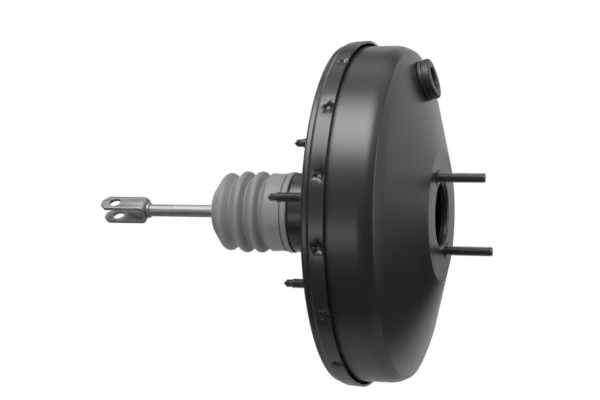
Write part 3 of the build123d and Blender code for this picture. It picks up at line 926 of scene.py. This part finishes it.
def makeStarRing(name, centre):
    steps = starRing["steps"]
    count = starRing["teeth"] * steps
    points = []
    for k in range(count):
        turn = 2 * math.pi * k / count
        tooth = max(0, 1 - abs((k % steps) / steps - 0.5) * starRing["slope"])
        edge = starRing["root"] + (starRing["tip"] - starRing["root"]) * tooth
        lift = starRing["lift"] * tooth
        profile = [(starRing["hole"], 0.0), (starRing["root"] - starRing["fold"], 0.0), (edge, lift)]
        ring = profile + [(r, h + starRing["sheet"]) for r, h in profile[::-1]]
        points += [centre + Vector((h, r * math.cos(turn), r * math.sin(turn))) for r, h in ring]
    faces = turnFaces(count, len(points) // count, True)
    return makePiece(name, points, faces, "housing", "black_steel", ["stud_star_rings"], 30)


def makeStarRings():
    for i in range(2):
        centre = frontStudCentre(i)
        centre.x = padFace - starRing["sink"]
        makeStarRing(f"star_ring_{i + 1}", centre)


makeStarRings()
print("star rings made")


# Vacuum port grommet, turned round its own axis and set square to the cone

grommet = dict(
    bore=9 * mm,
    neck=12.4 * mm,
    flange=16.4 * mm,
    foot=3 * mm,
    groove=1 * mm,
    grooveDepth=1.2 * mm,
    head=5.2 * mm,
    back=3 * mm,
    barbRear=1.5 * mm,
    barbFront=3 * mm,
    gap=0.3 * mm,
    bends=(0.6 * mm, 0.5 * mm, 0.3 * mm, 0.3 * mm, 0.3 * mm, 0.9 * mm),
    headBends=(0.2 * mm, 0.2 * mm, 0.5 * mm, 1.6 * mm, 1.2 * mm),
    mouth=2 * mm,
    facets=96,
)


def makeGrommet():
    inside = -frontShell["sheet"] - grommet["gap"]
    foot = grommet["gap"] + grommet["foot"]
    headFoot = foot + grommet["groove"]
    top = headFoot + grommet["head"]
    bore = grommet["bore"]
    neck = grommet["neck"]
    flange = grommet["flange"]
    points = [
        (inside - grommet["back"], bore),
        (inside - grommet["back"], neck + grommet["barbRear"]),
        (inside, neck + grommet["barbFront"]),
        (inside, neck),
        (grommet["gap"], neck),
        (grommet["gap"], flange),
        (foot, flange),
        (foot, flange - grommet["grooveDepth"]),
        (headFoot, flange - grommet["grooveDepth"]),
        (headFoot, flange),
        (top, flange),
        (top, bore),
        (top - grommet["mouth"], bore),
    ]
    section = bendLine(points, grommet["bends"] + grommet["headBends"])
    name = "vacuum_port_grommet"
    facets = grommet["facets"]
    turned(name + "_moulded", section, "housing", "black_rubber", [name], facets, True, portPlace())


makeGrommet()
print("grommet made")


# Dust boot: a sleeve on the neck, bellows, and an end that follows the rod

boot = dict(
    wall=1.9 * mm,
    front=-26.3 * mm,
    sleeveEnd=-46 * mm,
    outer=32.2 * mm,
    lipLength=4.7 * mm,
    lipHeight=1.1 * mm,
    groove=1.3 * mm,
    grooveWidth=1.3 * mm,
    waist=0.35 * mm,
    edge=0.1 * mm,
    tuck=1.5 * mm,
    sleeveBends=(1.1 * mm, 0.9 * mm, 0.25 * mm, 0.3 * mm, 0.5 * mm, 20 * mm, 3 * mm, 0),
    valley=27.5 * mm,
    crest=35.9 * mm,
    firstValley=-50.6 * mm,
    pitch=13 * mm,
    rise=4.6 * mm,
    folds=2,
    valleyBend=0.9 * mm,
    crestBend=3.3 * mm,
    lastRise=7.4 * mm,
    lastCrest=34.4 * mm,
    lastBend=4.2 * mm,
    cone=10.8 * mm,
    endRadius=19.4 * mm,
    endBend=3.4 * mm,
    nose=5.45 * mm,
    noseWall=2.6 * mm,
    noseLength=7 * mm,
    noseGap=0.3 * mm,
    noseFacets=64,
    bendStep=5,
    facets=160,
)
pistonTravel = 30 * mm


def bootLine():
    # outer skin behind the sleeve, from the neck to the rod, with its bend radii
    points = [(boot["sleeveEnd"], boot["outer"])]
    bends = []
    for i in range(boot["folds"]):
        valley = boot["firstValley"] - i * boot["pitch"]
        points += [(valley, boot["valley"]), (valley - boot["rise"], boot["crest"])]
        bends += [boot["valleyBend"], boot["crestBend"]]
    valley = boot["firstValley"] - boot["folds"] * boot["pitch"]
    seam = valley - boot["lastRise"]
    end = seam - boot["cone"]
    points += [(valley, boot["valley"]), (seam, boot["lastCrest"])]
    points += [(end, boot["endRadius"]), (end, boot["nose"])]
    bends += [boot["valleyBend"], boot["lastBend"], boot["endBend"]]
    return points, bends, seam, end


def bootPiece(name, section, body, facets=boot["facets"]):
    return turned(name, section, body, "boot_rubber", ["dust_boot"], facets)


def makeSleeve():
    outer = boot["outer"]
    lip = boot["front"] - boot["lipLength"]
    groove = lip - boot["grooveWidth"]
    inner = outer - boot["wall"]
    sleeve = [
        (boot["front"], inner),
        (boot["front"], outer + boot["lipHeight"]),
        (lip, outer + boot["lipHeight"]),
        (lip, outer - boot["groove"]),
        (groove, outer - boot["groove"]),
        (groove, outer + boot["edge"]),
        ((groove + boot["sleeveEnd"]) / 2, outer - boot["waist"]),
        (boot["sleeveEnd"] + boot["tuck"], outer),
        (boot["sleeveEnd"], outer - boot["edge"]),
        (boot["sleeveEnd"], inner),
    ]
    bootPiece("boot_sleeve", bendLine(sleeve, boot["sleeveBends"], boot["bendStep"]), "housing")


def makeBellows():
    points, bends, seam, end = bootLine()
    loop = sheetLoop(points, bends, boot["wall"], boot["bendStep"])
    folds = bootPiece("boot_bellows", clipLoop(loop, seam, True), "housing")
    length = abs(seam - boot["sleeveEnd"])
    (length - pistonTravel) / length
    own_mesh(folds)

    # the cone is made as two pieces, split halfway along
    cone = clipLoop(loop, seam, False)
    middle = (seam + end) / 2
    shoulder = bootPiece("boot_shoulder", clipLoop(cone, middle, True), None)
    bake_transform(shoulder)
    tail = bootPiece("boot_end", clipLoop(cone, middle, False), None)
    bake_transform(tail)


def makeNose():
    end = bootLine()[-1]
    inner = boot["nose"]
    outer = inner + boot["noseWall"]
    rear = end + boot["noseGap"]
    front = end + boot["noseLength"]
    section = [(rear, inner), (front, inner), (front, outer), (rear, outer)]
    bootPiece("boot_nose", section, "rod", boot["noseFacets"])


makeSleeve()
makeBellows()
makeNose()
print("boot made")


# Springs of round wire

springs = dict(
    mainWire=2 * mm,
    mainTurns=5.5,
    mainRear=41 * mm,
    mainFront=46 * mm,
    rodWire=0.9 * mm,
    rodRadius=13.6 * mm,
    rodTurns=5.5,
    closedTurns=0.9,
    closedRise=0.25,
    seatLength=3,
    around=14,
    perTurn=40,
)


def coil(start, end, firstRadius, lastRadius, wire, turns, part=(0, 1)):
    # a helix whose end turns lie close together, or a part of its length
    around = springs["around"]
    perTurn = springs["perTurn"]
    count = int(turns * perTurn)
    rises = []
    for i in range(count + 1):
        t = i / count * turns
        rises.append(springs["closedRise"] if min(t, turns - t) < springs["closedTurns"] else 1.0)
    total = sum(rises)
    along = Vector((1, 0, 0))
    height = 0
    points = []
    for i in range(count + 1):
        share = height / total
        radius = firstRadius + (lastRadius - firstRadius) * share
        a = 2 * math.pi * i / perTurn
        out = Vector((0, math.cos(a), math.sin(a)))
        centre = out * radius + along * (start + (end - start) * share)
        if part[0] <= i / count <= part[1]:
            for k in range(around):
                b = 2 * math.pi * k / around
                points.append(centre + out * wire * math.cos(b) + along * wire * math.sin(b))
        height += rises[i]
    rings = len(points) // around
    faces = turnFaces(rings, around, False)
    faces.append(tuple(range(around)))
    faces.append(tuple(range((rings - 1) * around, rings * around)))
    return points, faces


def makeReturnSpring():
    low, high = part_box("return_spring")
    wire = springs["mainWire"]
    radii = (springs["mainRear"], springs["mainFront"])
    points, faces = coil(low.x + wire, high.x - wire, *radii, wire, springs["mainTurns"])
    main = makePiece("return_spring_coil", points, faces, "housing", "spring_steel", ["return_spring"])
    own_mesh(main)


def makeRodSpring():
    # the front turns go with the piston, and the rear turns are a piece of their own
    low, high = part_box("rod_return_spring")
    wire = springs["rodWire"]
    radius = springs["rodRadius"]
    ends = (low.x + wire, high.x - wire, radius, radius, wire, springs["rodTurns"])
    replaced = ["rod_return_spring"]
    points, faces = coil(*ends, (0.5, 1))
    fore = makePiece("rod_spring_front_turns", points, faces, "piston", "spring_steel", replaced)
    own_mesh(fore)
    points, faces = coil(*ends, (0, 0.5))
    rear = makePiece("rod_spring_rear_turns", points, faces, None, "spring_steel", replaced)
    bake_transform(rear)


makeReturnSpring()
makeRodSpring()
print("springs made")


# Diaphragm: the frame's own mesh, with its long edges split into shorter ones

diaphragm = dict(edgeLength=5 * mm, splits=3, beadPlace=24 * mm, discPlace=18 * mm)


def makeDiaphragm():
    work = bmesh.new()
    work.from_mesh(nodes["diaphragm"].data)
    bmesh.ops.remove_doubles(work, verts=work.verts, dist=weldGap)
    for i in range(diaphragm["splits"]):
        longEdges = [e for e in work.edges if e.calc_length() > diaphragm["edgeLength"]]
        bmesh.ops.subdivide_edges(work, edges=longEdges, cuts=1)
    bmesh.ops.triangulate(work, faces=work.faces)
    points = [v.co.copy() for v in work.verts]
    work.verts.index_update()
    faces = [[v.index for v in face.verts] for face in work.faces]
    work.free()
    made = makePiece("diaphragm_rolled", points, faces, None, "black_rubber", ["diaphragm"])
    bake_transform(made)


makeDiaphragm()
print("diaphragm made")


# Input rod and fork

inputRod = dict(
    radius=5.15 * mm,
    neck=3.6 * mm,
    collar=6.5 * mm,
    collarLength=1.8 * mm,
    collarTaper=1.6 * mm,
    web=-159 * mm,
    ball=6 * mm,
    ballPlace=-4 * mm,
    ballSetback=4.6 * mm,
    ballRows=12,
    neckLength=8 * mm,
    neckTaper=3 * mm,
    plungerEnd=-7.5 * mm,
    strap=2.6 * mm,
    tenon=4 * mm,
    tenonProud=1.2 * mm,
    tenonTaper=0.6,
    bends=(0.6 * mm, 0.2 * mm, 0, 0.4 * mm, 0.6 * mm, 0.8 * mm, 1 * mm, 1 * mm),
    facets=72,
)
fork = dict(edge=0.35 * mm, segments=3, flat=0.5, corner=35, sharp=40)


def makeRod():
    web = inputRod["web"]
    tenon = inputRod["tenon"]
    radius = inputRod["radius"]
    neck = inputRod["neck"]
    strapRear = web - inputRod["strap"]
    proud = strapRear - inputRod["tenonProud"]
    collarFront = web + inputRod["collarLength"]
    neckStart = inputRod["plungerEnd"] - inputRod["neckLength"]
    points = [
        (proud, 0),
        (proud, tenon - inputRod["tenonProud"] * inputRod["tenonTaper"]),
        (strapRear, tenon),
        (web, tenon),
        (web, inputRod["collar"]),
        (collarFront, inputRod["collar"]),
        (collarFront + inputRod["collarTaper"], radius),
        (neckStart, radius),
        (neckStart + inputRod["neckTaper"], neck),
        (inputRod["ballPlace"] - inputRod["ballSetback"], neck),
    ]
    section = bendLine(points, inputRod["bends"])
    ball = inputRod["ball"]
    rows = inputRod["ballRows"]
    start = math.pi - math.asin(neck / ball)
    for k in range(rows + 1):
        a = start * (1 - k / rows)
        section.append(Vector((inputRod["ballPlace"] + ball * math.cos(a), ball * math.sin(a))))
    turned("input_rod_turned", section, "rod", "zinc_steel", ["input_rod"], inputRod["facets"], False)


def makeFork():
    # the fork's own mesh with its sharp edges broken
    mesh = nodes["clevis_fork"].data.copy()
    work = bmesh.new()
    work.from_mesh(mesh)
    bmesh.ops.remove_doubles(work, verts=work.verts, dist=weldGap)
    flat = math.radians(fork["flat"])
    bmesh.ops.dissolve_limit(work, angle_limit=flat, verts=work.verts, edges=work.edges)
    work.to_mesh(mesh)
    work.free()
    mesh.materials.clear()
    mesh.materials.append(finishes["zinc_steel"])
    made = addObject("clevis_fork_bent", mesh)
    bevel = made.modifiers.new("edges", "BEVEL")
    bevel.width = fork["edge"]
    bevel.segments = fork["segments"]
    bevel.limit_method = "ANGLE"
    bevel.angle_limit = math.radians(fork["corner"])
    applyModifiers(made, fork["sharp"])
    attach(made, "rod")
    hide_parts("clevis_fork")


makeRod()
makeFork()
print("rod and fork made")


# Studio: pale floor and backdrop, a big soft light above, a low strip, a dim room

studio = dict(
    floor=-0.24,
    floorReach=1.5,
    floorShade=0.8,
    roughness=0.9,
    seenShare=0.6,
    shadowReach=0.40,
    whiteReach=0.66,
    mirrorLeft=-0.45,
    mirrorRight=0.25,
    mirrorFront=-0.14,
    mirrorBack=0.16,
    mirrorNear=0.55,
    mirrorFar=0.9,
    wallBack=1.5,
    wallLeft=-0.5,
    wallBend=0.55,
    wallRight=2.4,
    wallFoot=-0.05,
    wallTop=1.3,
    roomLevel=0.05,
)


def paleFinish(name):
    made = Finish(name, Base_Color=grey(studio["floorShade"]), Roughness=studio["roughness"])
    path = made.node("ShaderNodeLightPath")
    return made, path.other("Is Camera Ray"), path.other("Is Glossy Ray")


def glow(made, level):
    return made.node("ShaderNodeEmission", inputs={"Color": grey(level), "Strength": 1.0})


def floorSurface():
    # pale and lit, lifted to white for the camera, and mirrored in gloss only beneath and behind
    made, seen, glossy = paleFinish("floor_pale")
    point = made.node("ShaderNodeTexCoord", output=3)
    x = made.node("ShaderNodeSeparateXYZ", inputs={0: point})
    y = x.other("Y")
    right = made.maths("GREATER_THAN", x, studio["mirrorLeft"])
    inside = right * made.maths("LESS_THAN", x, studio["mirrorRight"])
    near = made.maths("GREATER_THAN", y, studio["mirrorFront"]) * studio["mirrorNear"]
    step = studio["mirrorFar"] - studio["mirrorNear"]
    far = made.maths("GREATER_THAN", y, studio["mirrorBack"]) * step
    away = made.node("ShaderNodeVectorMath", {"operation": "LENGTH"}, {0: point}, 1)
    fade = made.ramp(away, studio["shadowReach"], studio["whiteReach"])
    share = fade * (1 - studio["seenShare"]) + studio["seenShare"]
    lifted = made.mixShader(seen * share, made.wholeShader(), glow(made, 1))
    mirrored = made.mixShader(inside * (near + far), glow(made, 0), glow(made, 1))
    made.close(made.mixShader(glossy, lifted, mirrored))
    return made.material


def wallSurface():
    # white in reflections, and clear for the camera, so that it hides nothing from behind
    made, seen, glossy = paleFinish("backdrop_white")
    lit = made.mixShader(glossy * studio["mirrorFar"], made.wholeShader(), glow(made, 1))
    made.close(made.mixShader(seen, lit, made.node("ShaderNodeBsdfTransparent")))
    return made.material


def makeStage(name, corners, material):
    mesh = bpy.data.meshes.new(name)
    mesh.from_pydata(corners, [], [tuple(range(len(corners)))])
    made = addObject(name, mesh)
    mesh.materials.append(material)


def makeRoom():
    # a dim room that the camera sees as white
    world = bpy.data.worlds.new("room")
    bpy.context.scene.world = world
    world.use_nodes = True
    room = Graph(world.node_tree)
    seen = room.node("ShaderNodeLightPath")
    colour = room.mixColour(seen, grey(studio["roomLevel"]), grey(1))
    room.join(colour, world.node_tree.nodes["Background"].inputs["Color"])


def makeStudio():
    floor, reach, back = studio["floor"], studio["floorReach"], studio["wallBack"]
    square = [(-reach, -reach, floor), (reach, -reach, floor), (reach, reach, floor), (-reach, reach, floor)]
    makeStage("floor", square, floorSurface())
    top, foot = studio["wallTop"], studio["wallFoot"]
    left, bend, right = studio["wallLeft"], studio["wallBend"], studio["wallRight"]
    wall = [(left, back, floor), (bend, back, floor), (bend, back, foot)]
    wall += [(right, back, foot), (right, back, top), (left, back, top)]
    makeStage("backdrop", wall, wallSurface())
    makeRoom()


lamps = dict(
    key=dict(place=(-0.06, -0.76, 1.25), aim=(0.02, 0, 0), width=1.5, height=0.88, level=11),
    rear=dict(place=(-1.3, 1.0, 0.7), aim=(0, 0, 0), width=1.3, height=1.1, level=2.5),
    top=dict(place=(0.1, 0.55, 1.5), aim=(0.02, 0, 0), width=1.6, height=0.6, level=1.4),
    strip=dict(place=(-0.30, -0.95, -0.175), aim=(0, 0, 0), width=0.5, height=0.12, level=7),
    edge=dict(place=(1.35, 0.05, 0.1), aim=(0.07, 0, 0), width=0.16, height=1.5, level=15),
)


def softBox(name, place, aim, width, height, level):
    # level is the brightness of the box's face, so that its size doesn't change it
    data = bpy.data.lights.new(name, "AREA")
    data.shape = "RECTANGLE"
    data.size = width
    data.size_y = height
    data.energy = level * width * height * math.pi
    made = addObject(name, data)
    way = Vector(aim) - Vector(place)
    made.matrix_world = Matrix.Translation(place) @ way.to_track_quat("-Z", "Y").to_matrix().to_4x4()


# Camera: its place and turn are worked out from the ellipses of the rims in the photograph

camera = dict(place=(0.3176, -1.1089, 0.0574), azimuth=17.115, rise=2.322, lens=84.61, nearest=0.02)


def makeCamera():
    azimuth = math.radians(camera["azimuth"])
    rise = math.radians(camera["rise"])
    right = Vector((math.cos(azimuth), math.sin(azimuth), 0))
    up = Vector((-math.sin(azimuth) * math.sin(rise), math.cos(azimuth) * math.sin(rise), math.cos(rise)))
    data = bpy.data.cameras.new("camera")
    data.lens = camera["lens"]
    data.sensor_width = 36
    data.clip_start = camera["nearest"]
    made = addObject("camera", data)
    turn = Matrix((right, up, right.cross(up))).transposed().to_4x4()
    made.matrix_world = Matrix.Translation(camera["place"]) @ turn
    bpy.context.scene.camera = made


makeStudio()
for name, lamp in lamps.items():
    softBox(name, **lamp)
makeCamera()
bpy.context.scene.view_settings.view_transform = "Standard"
print("studio made")
